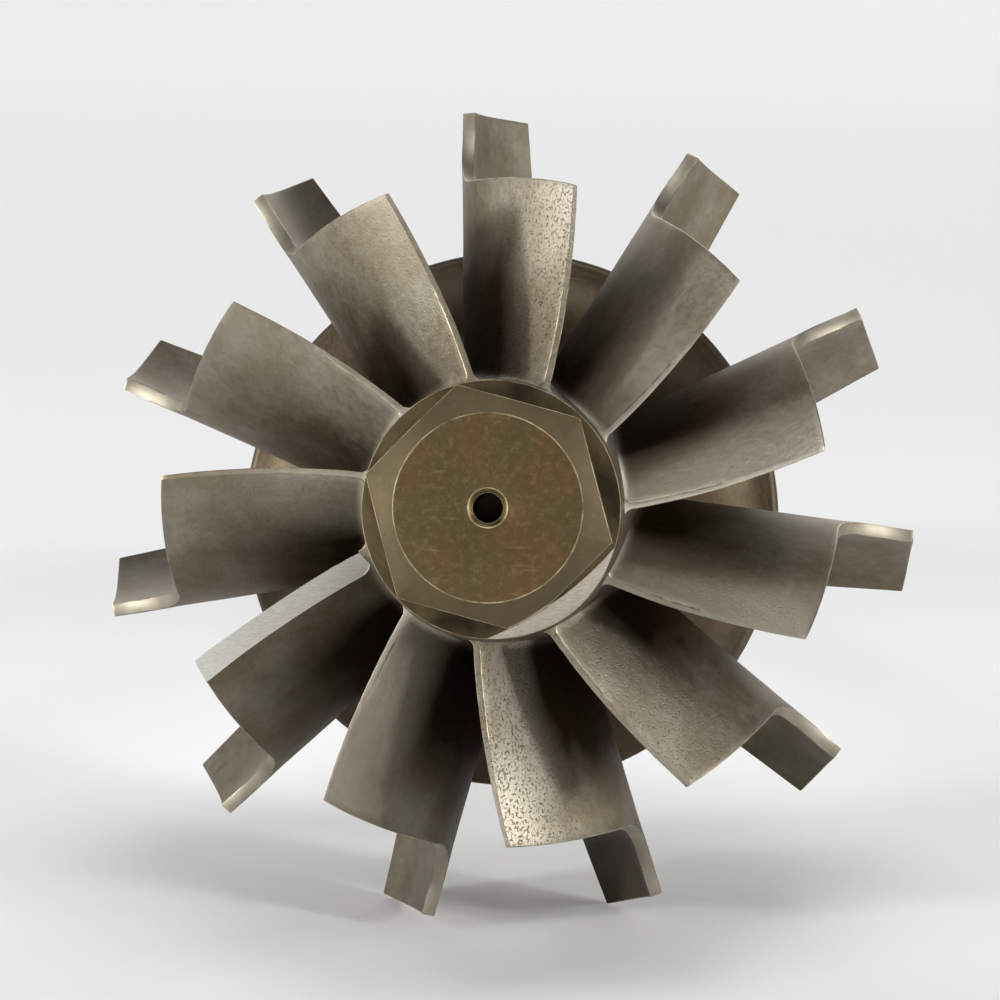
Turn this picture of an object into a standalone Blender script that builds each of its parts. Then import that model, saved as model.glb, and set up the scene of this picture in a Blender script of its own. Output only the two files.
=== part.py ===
"""Turbocharger turbine wheel and shaft, lying the way it rests by itself on a flat floor.

The rotor is modelled along its own axis: the nose points to local -Y, the shaft runs to local +Y,
and the blades are numbered clockwise from the top as seen from the nose. "Depth" is a distance
along the axis, counted forward from the plane of the blades' back edges. The rotor stands on the
back corners of its two lowest blades and on the rim of its threaded end, so its nose points up.
"""

from math import asin, atan2, cos, pi, radians, sin, sqrt, tan

import bmesh
import bpy
from mathutils import Matrix, Vector

MM = 0.001

# Blades
BLADE_COUNT = 11
TIP_RADIUS = 37.75 * MM
INLET_WIDTH = 10.0 * MM
TRAILING_RADIUS = 29.5 * MM
TRAILING_DEPTH = 32.0 * MM
TRAILING_ROOT_DEPTH = 34.0 * MM
SHROUD_ARC = 8.3 * MM
SHROUD_THROAT_RADIUS = 30.55 * MM
BOW_DEPTH = 12.0 * MM
BOW_AT_TIP = -4.65 * MM
BOW_AT_ROOT = -3.05 * MM
TRAILING_OFFSET = 6.4 * MM
TRAILING_SLANT = 0.105
TRAILING_LEAN = 3.75
BACK_EDGE_LEAN = 0.1
ROOT_HEIGHT = 12.0 * MM
THICK_TIP = 1.2 * MM
THICK_ROOT = 2.2 * MM
THICK_TRAILING_TIP = 0.6 * MM
THICK_TRAILING_ROOT = 0.9 * MM
ROOT_SINK = 1.0 * MM
SIDE_SHIFT = -0.15 * MM

# Hub and back disc
HUB_RADIUS = 11.5 * MM
DISC_RADIUS = 25.4 * MM
DISC_FRONT_DEPTH = 1.0 * MM
DISC_BACK_DEPTH = -3.5 * MM
RIM_ROUND = 0.8 * MM
BOSS_RADIUS = 9.0 * MM
BOSS_DEPTH = -9.0 * MM
BOSS_SWEEP_DEPTH = 4.0 * MM
BOSS_SWEEP_REACH = 9.0 * MM

# Hexagonal nose
HEX_ACROSS_FLATS = 19.0 * MM
HEX_TURN = radians(-16.1)
NOSE_DEPTH = 43.0 * MM
SHOULDER_DEPTH = 37.5 * MM
SHOULDER_RADIUS = 11.23 * MM
NOSE_FACE_RADIUS = 8.1 * MM
NOSE_CHAMFER = radians(30.0)
CENTRE_DRILL_RADIUS = 1.15 * MM
CENTRE_DRILL_LENGTH = 5.5 * MM
COUNTERSINK_RADIUS = 1.7 * MM
CUTTER_RADIUS = 30.0 * MM
CUTTER_LENGTH = 8.0 * MM

# Shaft
WELD_GAP = 0.1 * MM
SEAL_LAND_END = -20.0 * MM
GROOVE_FRONT = -14.0 * MM
GROOVE_WIDTH = 1.9 * MM
GROOVE_RADIUS = 7.3 * MM
JOURNAL_RADIUS = 5.5 * MM
JOURNAL_FILLET = 1.5 * MM
WAIST_START = -42.0 * MM
WAIST_END = -63.0 * MM
WAIST_RADIUS = 5.1 * MM
WAIST_TAPER = 1.0 * MM
JOURNAL_END = -84.0 * MM
STUB_RADIUS = 4.0 * MM
THREAD_START = -104.0 * MM
THREAD_RELIEF = 2.0 * MM
THREAD_RELIEF_RADIUS = 3.4 * MM
THREAD_RELIEF_TAPER = 0.6 * MM
SHAFT_END = -120.0 * MM
END_CHAMFER = 0.8 * MM
EDGE_CHAMFER = 0.4 * MM

# Seal ring
RING_WIDTH = 1.5 * MM
RING_OUTER = 9.15 * MM
RING_INNER = 7.55 * MM
RING_SPLIT = radians(4.0)

# Facets
TURNED_STEPS = 48
SHAFT_STEPS = 32
STREAM_STEPS = 12
SPAN_STEPS = 5


def share(value, low, high):
    """Where value lies between low and high, from 0 to 1."""
    return min(1.0, max(0.0, (value - low) / (high - low)))


def blend(a, b, amount):
    return a + (b - a) * amount


def camber(depth, height):
    """Sideways offset of a blade's middle surface, a shallow C from the inlet to the trailing edge."""
    bow = blend(BOW_AT_ROOT, BOW_AT_TIP, (height - ROOT_HEIGHT) / (TIP_RADIUS - ROOT_HEIGHT))
    if depth < BOW_DEPTH:
        end = BACK_EDGE_LEAN * (TIP_RADIUS - height)
        along = (BOW_DEPTH - depth) / BOW_DEPTH
    else:
        inward = TRAILING_RADIUS - height
        end = TRAILING_OFFSET - TRAILING_SLANT * inward - TRAILING_LEAN * inward**2
        along = (depth - BOW_DEPTH) / (TRAILING_DEPTH - BOW_DEPTH)
    return bow + (end - bow) * along**2


def half_thickness(depth, height):
    """Half of a blade's thickness, measured sideways: thickest at the root, thin at the trailing edge."""
    outward = share(height, ROOT_HEIGHT, SHROUD_THROAT_RADIUS)
    body = blend(THICK_ROOT, THICK_TIP, outward)
    trailing = blend(THICK_TRAILING_ROOT, THICK_TRAILING_TIP, outward)
    return blend(body, trailing, share(depth, BOW_DEPTH, TRAILING_DEPTH)) / 2


def blade_point(depth, radius, side):
    """A point of blade 1's skin at this depth and radius, on its left (-1) or right (1) face."""
    height = radius
    for _ in range(8):
        offset = camber(depth, height) + side * half_thickness(depth, height)
        height = sqrt(radius**2 - offset**2)
    return Vector((offset, -depth, height))


def shroud_contour(share_of_way):
    """(depth, radius) on the turned outer edge, from the inlet's front corner to the trailing edge."""
    centre_radius = SHROUD_THROAT_RADIUS + SHROUD_ARC
    first = asin((centre_radius - TIP_RADIUS) / SHROUD_ARC)
    centre_depth = INLET_WIDTH + SHROUD_ARC * cos(first)
    if share_of_way <= 0.5:
        angle = blend(first, pi / 2, share_of_way / 0.5)
        return centre_depth - SHROUD_ARC * cos(angle), centre_radius - SHROUD_ARC * sin(angle)
    along = (share_of_way - 0.5) / 0.5
    return blend(centre_depth, TRAILING_DEPTH, along), blend(SHROUD_THROAT_RADIUS, TRAILING_RADIUS, along)


def hub_contour(angle, sink=0.0):
    """(depth, radius) on the quarter ellipse that sweeps from the hub (0) to the disc's face (90 degrees)."""
    along_axis = TRAILING_ROOT_DEPTH - DISC_FRONT_DEPTH + sink
    outward = DISC_RADIUS - HUB_RADIUS + sink
    return TRAILING_ROOT_DEPTH - along_axis * sin(angle), DISC_RADIUS - outward * cos(angle)


def root_contour(share_of_way):
    """(depth, radius) on the blade's inner edge: free behind the inlet, then sunk under the hub's skin."""
    free = 1 / 3
    if share_of_way <= free:
        return 0.0, blend(TIP_RADIUS, DISC_RADIUS - RIM_ROUND, share_of_way / free)
    along = (share_of_way - free) / (1 - free)
    return hub_contour(radians(blend(80.0, 0.0, along)), ROOT_SINK)


def closed_mesh(name, shape):
    """Stores a bmesh as a mesh with its doubles merged and its faces pointing out."""
    bmesh.ops.remove_doubles(shape, verts=shape.verts, dist=0.0001 * MM)
    bmesh.ops.recalc_face_normals(shape, faces=shape.faces)
    mesh = bpy.data.meshes.new(name)
    shape.to_mesh(mesh)
    shape.free()
    return mesh


def turned_mesh(name, profile, steps, turn=2 * pi):
    """Spins a closed (depth, radius) profile about the rotor's axis; part turns get end faces."""
    shape = bmesh.new()
    verts = [shape.verts.new((0.0, -depth, radius)) for depth, radius in profile]
    section = shape.faces.new(verts) if turn < 2 * pi else None
    edges = [shape.edges.new(pair) for pair in zip(verts, verts[1:])] if section is None else []
    geometry = [section] if section else verts + edges
    bmesh.ops.spin(
        shape, geom=geometry, cent=(0, 0, 0), axis=(0, 1, 0), dvec=(0, 0, 0), angle=turn, steps=steps
    )
    return closed_mesh(name, shape)


def blade_ring_mesh():
    """All the blades: each starts as a flat grid that is given a thickness and bent to its surface."""
    ring = bmesh.new()
    for number in range(BLADE_COUNT):
        blade = bmesh.new()
        bmesh.ops.create_grid(blade, x_segments=STREAM_STEPS, y_segments=SPAN_STEPS, size=0.5)
        left = list(blade.verts)
        extruded = bmesh.ops.extrude_face_region(blade, geom=blade.faces[:], use_keep_orig=True)
        right = [item for item in extruded["geom"] if isinstance(item, bmesh.types.BMVert)]
        for side, verts in ((-1, left), (1, right)):
            for vert in verts:
                root = root_contour(vert.co.x + 0.5)
                shroud = shroud_contour(vert.co.x + 0.5)
                depth = blend(root[0], shroud[0], vert.co.y + 0.5)
                radius = blend(root[1], shroud[1], vert.co.y + 0.5)
                vert.co = blade_point(depth, radius, side)
        bmesh.ops.recalc_face_normals(blade, faces=blade.faces)
        bmesh.ops.rotate(
            blade, verts=blade.verts, matrix=Matrix.Rotation(2 * pi * number / BLADE_COUNT, 3, "Y")
        )
        mesh = bpy.data.meshes.new("blade")
        blade.to_mesh(mesh)
        blade.free()
        ring.from_mesh(mesh)
        bpy.data.meshes.remove(mesh)
    return closed_mesh("blade_ring", ring)


def sweep(depth, radius, length, reach):
    """A hollow quarter round from a face at this depth down to this radius, going backwards."""
    angles = [radians(angle) for angle in (0, 30, 60, 90)]
    return [(depth - length * (1 - cos(angle)), radius + reach * (1 - sin(angle))) for angle in angles]


def hub_profile():
    """The casting's turned outline, from the bottom of the centre drilling round to the rear boss."""
    drill_end = NOSE_DEPTH - CENTRE_DRILL_LENGTH
    countersink = COUNTERSINK_RADIUS - CENTRE_DRILL_RADIUS
    chamfer = (SHOULDER_RADIUS - NOSE_FACE_RADIUS) * tan(NOSE_CHAMFER)
    rounding = RIM_ROUND * (1 - cos(pi / 4))
    profile = [
        (drill_end - CENTRE_DRILL_RADIUS / 2, 0.0),
        (drill_end, CENTRE_DRILL_RADIUS),
        (NOSE_DEPTH - countersink, CENTRE_DRILL_RADIUS),
        (NOSE_DEPTH, COUNTERSINK_RADIUS),
        (NOSE_DEPTH, NOSE_FACE_RADIUS),
        (NOSE_DEPTH - chamfer, SHOULDER_RADIUS),
        (SHOULDER_DEPTH, SHOULDER_RADIUS),
    ]
    profile += [hub_contour(radians(angle)) for angle in range(0, 81, 10)]
    profile += [
        (DISC_FRONT_DEPTH, DISC_RADIUS - RIM_ROUND),
        (DISC_FRONT_DEPTH - rounding, DISC_RADIUS - rounding),
        (DISC_FRONT_DEPTH - RIM_ROUND, DISC_RADIUS),
        (DISC_BACK_DEPTH + EDGE_CHAMFER, DISC_RADIUS),
        (DISC_BACK_DEPTH, DISC_RADIUS - EDGE_CHAMFER),
    ]
    profile += sweep(DISC_BACK_DEPTH, BOSS_RADIUS, BOSS_SWEEP_DEPTH, BOSS_SWEEP_REACH)
    profile += [(BOSS_DEPTH, BOSS_RADIUS), (BOSS_DEPTH, 0.0)]
    return profile


def shaft_profile():
    """The shaft's turned outline: seal land with its groove, two journals, stub and threaded end."""
    land = BOSS_RADIUS
    groove_back = GROOVE_FRONT - GROOVE_WIDTH
    relief_start = THREAD_START + THREAD_RELIEF
    profile = [
        (BOSS_DEPTH - WELD_GAP, 0.0),
        (BOSS_DEPTH - WELD_GAP, land),
        (GROOVE_FRONT, land),
        (GROOVE_FRONT, GROOVE_RADIUS),
        (groove_back, GROOVE_RADIUS),
        (groove_back, land),
        (SEAL_LAND_END + EDGE_CHAMFER, land),
        (SEAL_LAND_END, land - EDGE_CHAMFER),
    ]
    profile += sweep(SEAL_LAND_END, JOURNAL_RADIUS, JOURNAL_FILLET, JOURNAL_FILLET)
    profile += [
        (WAIST_START, JOURNAL_RADIUS),
        (WAIST_START - WAIST_TAPER, WAIST_RADIUS),
        (WAIST_END + WAIST_TAPER, WAIST_RADIUS),
        (WAIST_END, JOURNAL_RADIUS),
        (JOURNAL_END + EDGE_CHAMFER, JOURNAL_RADIUS),
        (JOURNAL_END, JOURNAL_RADIUS - EDGE_CHAMFER),
        (JOURNAL_END, STUB_RADIUS),
        (relief_start, STUB_RADIUS),
        (relief_start - THREAD_RELIEF_TAPER, THREAD_RELIEF_RADIUS),
        (THREAD_START + THREAD_RELIEF_TAPER, THREAD_RELIEF_RADIUS),
        (THREAD_START, STUB_RADIUS),
        (SHAFT_END + END_CHAMFER, STUB_RADIUS),
        (SHAFT_END, STUB_RADIUS - END_CHAMFER),
        (SHAFT_END, 0.0),
    ]
    return profile


def hexagon_cutter_mesh():
    """A thick collar with a hexagonal hole, which leaves the six driving flats on the nose."""
    shape = bmesh.new()
    corner = HEX_ACROSS_FLATS / sqrt(3)
    bmesh.ops.create_circle(shape, segments=6, radius=CUTTER_RADIUS)
    bmesh.ops.create_circle(shape, segments=6, radius=corner)
    ring = bmesh.ops.bridge_loops(shape, edges=shape.edges[:])["faces"]
    wall = bmesh.ops.extrude_face_region(shape, geom=ring)
    lifted = [item for item in wall["geom"] if isinstance(item, bmesh.types.BMVert)]
    bmesh.ops.translate(shape, verts=lifted, vec=(0, 0, CUTTER_LENGTH))
    bottom = Matrix.Translation((0, -SHOULDER_DEPTH, 0))
    turned = Matrix.Rotation(HEX_TURN, 4, "Y") @ Matrix.Rotation(pi / 2, 4, "X")
    shape.transform(bottom @ turned)
    return closed_mesh("hexagon_cutter", shape)


def add_object(name, mesh, material, parent):
    obj = bpy.data.objects.new(name, mesh)
    bpy.context.scene.collection.objects.link(obj)
    obj.parent = parent
    if material:
        mesh.materials.append(material)
        mesh.shade_smooth()
        mesh.set_sharp_from_angle(angle=radians(35))
    else:
        obj.hide_render = True
        obj.display_type = "WIRE"
    return obj


def add_boolean(obj, tool, operation):
    modifier = obj.modifiers.new(tool.name, "BOOLEAN")
    modifier.object = tool
    modifier.operation = operation
    modifier.solver = "EXACT"


def metal(name, colour, roughness):
    material = bpy.data.materials.new(name)
    material.use_nodes = True
    shader = material.node_tree.nodes["Principled BSDF"]
    shader.inputs["Base Color"].default_value = (*colour, 1.0)
    shader.inputs["Metallic"].default_value = 1.0
    shader.inputs["Roughness"].default_value = roughness
    return material


def add_wheel_casting(rotor):
    """Hub, back disc, blades and hexagonal nose, which are one investment casting."""
    material = metal("cast_nickel_alloy", (0.19, 0.16, 0.12), 0.5)
    wheel = add_object("wheel_casting", turned_mesh("hub", hub_profile(), TURNED_STEPS), material, rotor)
    blades = add_object("blade_ring", blade_ring_mesh(), None, rotor)
    cutter = add_object("hexagon_cutter", hexagon_cutter_mesh(), None, rotor)
    add_boolean(wheel, blades, "UNION")
    add_boolean(wheel, cutter, "DIFFERENCE")
    return wheel


def add_rotor_shaft(rotor):
    """The steel shaft that is welded to the casting's boss."""
    material = metal("ground_steel", (0.42, 0.41, 0.39), 0.25)
    return add_object("rotor_shaft", turned_mesh("shaft", shaft_profile(), SHAFT_STEPS), material, rotor)


def add_seal_ring(rotor):
    """The split ring that sits loose in the seal land's groove."""
    middle = GROOVE_FRONT - GROOVE_WIDTH / 2
    front = middle + RING_WIDTH / 2
    back = middle - RING_WIDTH / 2
    section = [(front, RING_INNER), (front, RING_OUTER), (back, RING_OUTER), (back, RING_INNER)]
    mesh = turned_mesh("ring", section, SHAFT_STEPS, 2 * pi - RING_SPLIT)
    return add_object("seal_ring", mesh, metal("ring_iron", (0.1, 0.1, 0.1), 0.4), rotor)


def rotor_frame():
    """The rotor's own axes, tilted and lifted so that it rests on two blade tips and its threaded end.

    The odd number of blades reaches a little further to the right, so the axis is shifted left by half.
    """
    blade_angle = pi / BLADE_COUNT - asin(THICK_TIP / 2 / TIP_RADIUS)
    tip_reach = TIP_RADIUS * cos(blade_angle)
    tilt = atan2(tip_reach - STUB_RADIUS, -SHAFT_END - END_CHAMFER)
    front = NOSE_DEPTH * cos(tilt) + NOSE_FACE_RADIUS * sin(tilt)
    back = -SHAFT_END * cos(tilt) + (STUB_RADIUS - END_CHAMFER) * sin(tilt)
    rotor = bpy.data.objects.new("rotor", None)
    bpy.context.scene.collection.objects.link(rotor)
    rotor.rotation_euler = (-tilt, 0, 0)
    rotor.location = (SIDE_SHIFT, (front - back) / 2, tip_reach * cos(tilt))
    return rotor


def main():
    for obj in list(bpy.data.objects):
        bpy.data.objects.remove(obj)
    rotor = rotor_frame()
    add_wheel_casting(rotor)
    add_rotor_shaft(rotor)
    add_seal_ring(rotor)


main()
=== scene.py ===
"""The look of a turbocharger's turbine wheel on its shaft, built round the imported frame."""

from math import asin, atan2, cos, pi, radians, sin, sqrt, tan

import bpy
from mathutils import Matrix, Vector, noise


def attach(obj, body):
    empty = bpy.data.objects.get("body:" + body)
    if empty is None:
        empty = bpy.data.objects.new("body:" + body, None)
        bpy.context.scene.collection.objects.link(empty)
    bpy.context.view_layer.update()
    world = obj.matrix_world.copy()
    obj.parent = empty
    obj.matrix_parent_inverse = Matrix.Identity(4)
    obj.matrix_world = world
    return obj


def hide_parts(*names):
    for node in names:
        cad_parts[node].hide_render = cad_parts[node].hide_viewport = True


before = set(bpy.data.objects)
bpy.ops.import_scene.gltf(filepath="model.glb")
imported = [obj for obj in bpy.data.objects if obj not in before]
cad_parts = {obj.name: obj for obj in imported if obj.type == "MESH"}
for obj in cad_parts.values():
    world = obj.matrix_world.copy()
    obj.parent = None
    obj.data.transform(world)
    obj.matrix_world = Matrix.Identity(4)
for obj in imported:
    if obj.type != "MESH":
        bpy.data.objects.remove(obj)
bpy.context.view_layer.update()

MM = 0.001

# Wheel, as in the part's source
BLADES = 11
TIP_RADIUS = 37.75 * MM
INLET_WIDTH = 10.0 * MM
TRAILING_RADIUS = 29.5 * MM
TRAILING_DEPTH = 32.0 * MM
TRAILING_ROOT_DEPTH = 34.0 * MM
SHROUD_ARC = 8.3 * MM
SHROUD_THROAT = 30.55 * MM
BOW_DEPTH = 12.0 * MM
BOW_AT_TIP = -4.65 * MM
BOW_AT_ROOT = -3.05 * MM
TRAILING_OFFSET = 6.4 * MM
TRAILING_SLANT = 0.105
TRAILING_LEAN = 3.75
BACK_EDGE_LEAN = 0.1
ROOT_HEIGHT = 12.0 * MM
THICK_TIP = 1.2 * MM
THICK_ROOT = 2.2 * MM
THICK_TRAILING_TIP = 0.4 * MM
THICK_TRAILING_ROOT = 0.65 * MM
ROOT_SINK = 1.0 * MM
ROOT_START = radians(80.0)
SIDE_SHIFT = -0.15 * MM
HUB_RADIUS = 11.5 * MM
DISC_RADIUS = 25.4 * MM
DISC_FRONT = 1.0 * MM
DISC_BACK = -3.5 * MM
RIM_ROUND = 0.8 * MM
RIM_CHAMFER = 0.3 * MM
BOSS_RADIUS = 9.0 * MM
BOSS_DEPTH = -9.0 * MM
BOSS_SWEEP = (4.0 * MM, 9.0 * MM)
HEX_ACROSS_FLATS = 19.0 * MM
HEX_TURN = radians(-16.1)
HEX_BLANK = 20.0 * MM
NOSE_DEPTH = 43.0 * MM
SHOULDER_DEPTH = 37.5 * MM
SHOULDER_RADIUS = 11.23 * MM
SHOULDER_LAP = 0.02 * MM
NOSE_FACE_RADIUS = 8.1 * MM
NOSE_CHAMFER = radians(30.0)
DRILL_RADIUS = 1.3 * MM
DRILL_LENGTH = 5.5 * MM
COUNTERSINK = 1.7 * MM

# Shaft, as in the part's source: a groove, waist or ring is its front, its back and its radii, and
# the thread's relief is how far from the thread's start it begins, is full and ends
WELD_GAP = 0.1 * MM
WELD_CHAMFER = 0.15 * MM
SEAL_LAND_END = -20.0 * MM
GROOVE = (-14.0 * MM, -15.9 * MM, 7.3 * MM)
JOURNAL_RADIUS = 5.5 * MM
JOURNAL_FILLET = 1.5 * MM
JOURNAL_CHAMFER = 0.4 * MM
WAIST = (-42.0 * MM, -63.0 * MM, 5.1 * MM)
JOURNAL_END = -84.0 * MM
STUB_RADIUS = 4.0 * MM
THREAD_START = -104.0 * MM
THREAD_RELIEF = (2.0 * MM, 1.4 * MM, 0.2 * MM)
THREAD_OVERLAP = 0.1 * MM
THREAD_ROOT = 3.4 * MM
THREAD_PITCH = 1.25 * MM
TOOTH_RISE = 1.15
TOOTH_FLAT = 0.05
TOOTH_UNDERCUT = 0.05 * MM
SHAFT_END = -120.0 * MM
END_CHAMFER = 0.8 * MM
RING = (-14.2 * MM, -15.7 * MM, 7.55 * MM, 9.15 * MM)
RING_SPLIT = radians(4.0)

# Fillets, rounded edges and the slight unevenness of the cast blades
FILLET = 0.6 * MM
FAR_FROM_HUB = 10.0 * MM
BLADE_EDGE = 0.09 * MM
HUB_EDGE = 0.07 * MM
NOSE_EDGE = 0.06 * MM
SHAFT_EDGE = 0.06 * MM
RING_EDGE = 0.08 * MM
SKIN_WAVE = 0.05 * MM
SKIN_WAVE_LENGTH = 7.0
SKIN_WAVE_APART = 9.0

# The flat that was ground on a trailing edge: its middle at the tip, how that moves towards the
# hub, its tilt at the tip and the hub, and its reach across and along with its inner corners
GROUND_BLADE = 8
GROUND_ASIDE = 5.71 * MM
GROUND_LEAN = 5.9
GROUND_DEPTH = 31.31 * MM
GROUND_RISE = 0.076
GROUND_TILT = (radians(38.0), radians(45.0))
GROUND_ACROSS = (-1.54 * MM, 4.4 * MM)
GROUND_REACH = (11.4 * MM, 34.0 * MM)
GROUND_CORNERS = (1.4 * MM, 2.8 * MM)
GROUND_CORNER_LINE = 1.2 * MM
GROUND_SLAB = 5.0 * MM
GROUND_SLICES = 60

# The balance cut in the hub's shoulder: a ring's inner wall, set off to one side of the axis
BALANCE_WALL = 28.9 * MM
BALANCE_OFFSET = 19.2 * MM
BALANCE_ROUND = 4.0 * MM
BALANCE_ARC = (radians(22.0), radians(65.0))
BALANCE_ABOVE = 2.0 * MM
BALANCE_DEEP = 8.0 * MM
BALANCE_WIDE = 5.0 * MM
BALANCE_TOWARDS = radians(143.0)

# Wear and painted light and shade of each blade: pitting, painted light on the trailing edge near
# the hub and near the tip, load of soot and painted shade in the passage, painted shade on the face
# and on the tab beyond the shroud. Each goes from 0 to 1, and a soot load above 1 spreads wider
WEAR_LIGHT_AND_SHADE = {
    1: (0.80, 0.06, 0.34, 1.75, 0.00, 0.20),
    2: (0.00, 0.62, 0.17, 0.95, 0.03, 0.00),
    3: (0.08, 1.00, 1.00, 1.65, 0.00, 0.00),
    4: (0.20, 0.40, 0.44, 1.15, 0.17, 0.10),
    5: (0.60, 0.22, 0.14, 1.40, 0.00, 0.45),
    6: (0.90, 0.12, 0.50, 2.10, 0.00, 0.75),
    7: (0.00, 0.68, 0.25, 1.90, 0.28, 0.45),
    8: (0.00, 0.00, 0.00, 1.60, 0.27, 0.27),
    9: (0.00, 0.32, 0.09, 1.05, 0.00, 0.40),
    10: (0.00, 0.28, 0.15, 0.60, 0.00, 0.15),
    11: (0.25, 0.12, 0.22, 0.95, 0.00, 0.30),
}
PLAIN_PITTING = 0.05
PIT_DEPTH = (21.0 * MM, 30.0 * MM)
PAINTED_LIGHT_DEPTH = (26.0 * MM, 30.5 * MM)
PAINTED_LIGHT_RADIUS = (19.0 * MM, 24.0 * MM)
TAB_RADIUS = (29.0 * MM, 32.0 * MM)

# Soot and painted shade: full at the first radius, none from the second on, or from the third deep
# in the passage; it starts to thin out at the first depth and ends at the second
SOOT_AND_SHADE_RADIUS = (14.0 * MM, 28.0 * MM, 31.5 * MM)
SOOT_AND_SHADE_DEPTH = (24.5 * MM, 28.5 * MM)
BOW_REACH = (14.0 * MM, 23.0 * MM)
HUB_SOOT_AND_SHADE = 0.55

# Mesh of a blade: its faces along and across the stream, how they crowd towards the root,
# the share of the root line that is the free back edge, and the rounds that find a height
STREAM = 90
SPAN = 40
ROOT_CROWDING = 1.35
FREE_SHARE = 1 / 3
HEIGHT_ROUNDS = 8
SHEET_EDGE = 0.4999
SHARP = radians(50.0)

# Steps round the axis and along the outlines, and how close to a plane counts as on it
HUB_STEPS = 180
HUB_SWEEP_STEPS = 60
RIM_STEPS = 6
SWEEP_STEPS = 12
CUTTER_STEPS = 256
CUTTER_ROUND_STEPS = 8
NOSE_STEPS = 240
DRILL_STEPS = 96
SHAFT_STEPS = 128
THREAD_STEPS = 72
THREAD_ROWS = 160
RING_STEPS = 120
TOUCH = 0.01 * MM

# A wave texture's bands are this far apart at a scale of 1
WAVE_SPACING = 2 * pi / 20

# Inputs and output of a Mix node that mixes colours, which share their names with others on it
COLOUR_A = 6
COLOUR_B = 7
MIXED = 2

# Studio: the camera sits a little below and to the right of the rotor's axis
CAMERA_AZIMUTH = radians(2.969)
CAMERA_BELOW_AXIS = radians(1.377)
CAMERA_ROLL = radians(0.817)
CAMERA_SIDE = -1.078 * MM
CAMERA_LIFT = 1.742 * MM
CAMERA_DISTANCE = 401.01 * MM
FOCAL_PIXELS = 4208.3
FRAME_PIXELS = 1000
SENSOR_WIDTH = 36.0
FLOOR_SIZE = 6.0
LIGHT_DISTANCE = 0.9
LIGHT_AIM_DEPTH = 15.0 * MM


# Helpers


def share(value, low, high):
    """How far a value has come from low to high, from 0 to 1."""
    return min(1.0, max(0.0, (value - low) / (high - low)))


def blend(a, b, amount):
    """The value that lies this share of the way from a to b."""
    return a + (b - a) * amount


def srgb(code):
    """A hex colour as linear RGBA."""
    values = [int(code[i : i + 2], 16) / 255 for i in (1, 3, 5)]
    linear = [v / 12.92 if v <= 0.04045 else ((v + 0.055) / 1.055) ** 2.4 for v in values]
    return (*linear, 1.0)


def per(millimetres):
    """The texture scale whose features are this many millimetres apart."""
    return 1000.0 / millimetres


def connect(tree, node, inputs):
    """Sets a node's inputs: plain values, or links given as (node, output). A Math node's inputs
    all have one name, so they go by number."""
    for key, value in inputs.items():
        if isinstance(value, tuple) and isinstance(value[0], bpy.types.Node):
            tree.links.new(value[0].outputs[value[1]], node.inputs[key])
        else:
            node.inputs[key].default_value = value


def add_node(tree, kind, inputs=None, stops=(), **settings):
    """Adds a node with its inputs and properties; stops are a colour ramp's places and colours."""
    made = tree.nodes.new(kind)
    for key, value in settings.items():
        setattr(made, key, value)
    for step, (place, code) in enumerate(stops):
        ramp = made.color_ramp.elements
        stop = ramp[step] if step < len(ramp) else ramp.new(place)
        stop.position = place
        stop.color = srgb(code)
    connect(tree, made, inputs or {})
    return made


def rotor_matrix():
    """The rotor's own axes, nose to local -Y, as it rests on two blades and its threaded end."""
    lowest = pi / BLADES - asin(THICK_TIP / 2 / TIP_RADIUS)
    reach = TIP_RADIUS * cos(lowest)
    tilt = atan2(reach - STUB_RADIUS, -SHAFT_END - END_CHAMFER)
    front = NOSE_DEPTH * cos(tilt) + NOSE_FACE_RADIUS * sin(tilt)
    back = -SHAFT_END * cos(tilt) + (STUB_RADIUS - END_CHAMFER) * sin(tilt)
    place = Matrix.Translation((SIDE_SHIFT, (front - back) / 2, reach * cos(tilt)))
    return place @ Matrix.Rotation(-tilt, 4, "X"), tilt


ROTOR, TILT = rotor_matrix()


# Modelling


def start_edit(obj):
    """Starts editing one piece, with all of it selected."""
    bpy.ops.object.select_all(action="DESELECT")
    obj.select_set(True)
    bpy.context.view_layer.objects.active = obj
    bpy.ops.object.mode_set(mode="EDIT")
    bpy.ops.mesh.select_mode(type="VERT")
    bpy.ops.mesh.select_all(action="SELECT")


def select_verts(obj, chosen):
    """Starts editing with only the vertices selected whose place the test picks."""
    start_edit(obj)
    bpy.ops.mesh.select_all(action="DESELECT")
    bpy.ops.object.mode_set(mode="OBJECT")
    for vert in obj.data.vertices:
        vert.select = chosen(vert.co)
    bpy.ops.object.mode_set(mode="EDIT")


def turned(name, profile, steps, turn=2 * pi, closed=False):
    """Draws a (depth, radius) outline point by point and spins it about the rotor's axis."""
    bpy.ops.object.select_all(action="DESELECT")
    bpy.ops.mesh.primitive_plane_add(size=MM, location=(0, 0, 0))
    obj = bpy.context.object
    obj.name = name
    start_edit(obj)
    bpy.ops.mesh.merge(type="CENTER")
    depth, radius = profile[0]
    bpy.ops.transform.translate(value=(0, -depth, radius))
    for here, there in zip(profile, profile[1:]):
        step = (0, here[0] - there[0], there[1] - here[1])
        bpy.ops.mesh.extrude_region_move(TRANSFORM_OT_translate={"value": step})
    bpy.ops.mesh.select_all(action="SELECT")
    if closed:
        bpy.ops.mesh.edge_face_add()
    bpy.ops.mesh.spin(steps=steps, angle=turn, center=(0, 0, 0), axis=(0, 1, 0))
    bpy.ops.mesh.select_all(action="SELECT")
    bpy.ops.mesh.remove_doubles(threshold=0.0005 * MM)
    bpy.ops.mesh.normals_make_consistent(inside=False)
    bpy.ops.object.mode_set(mode="OBJECT")
    return obj


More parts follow.
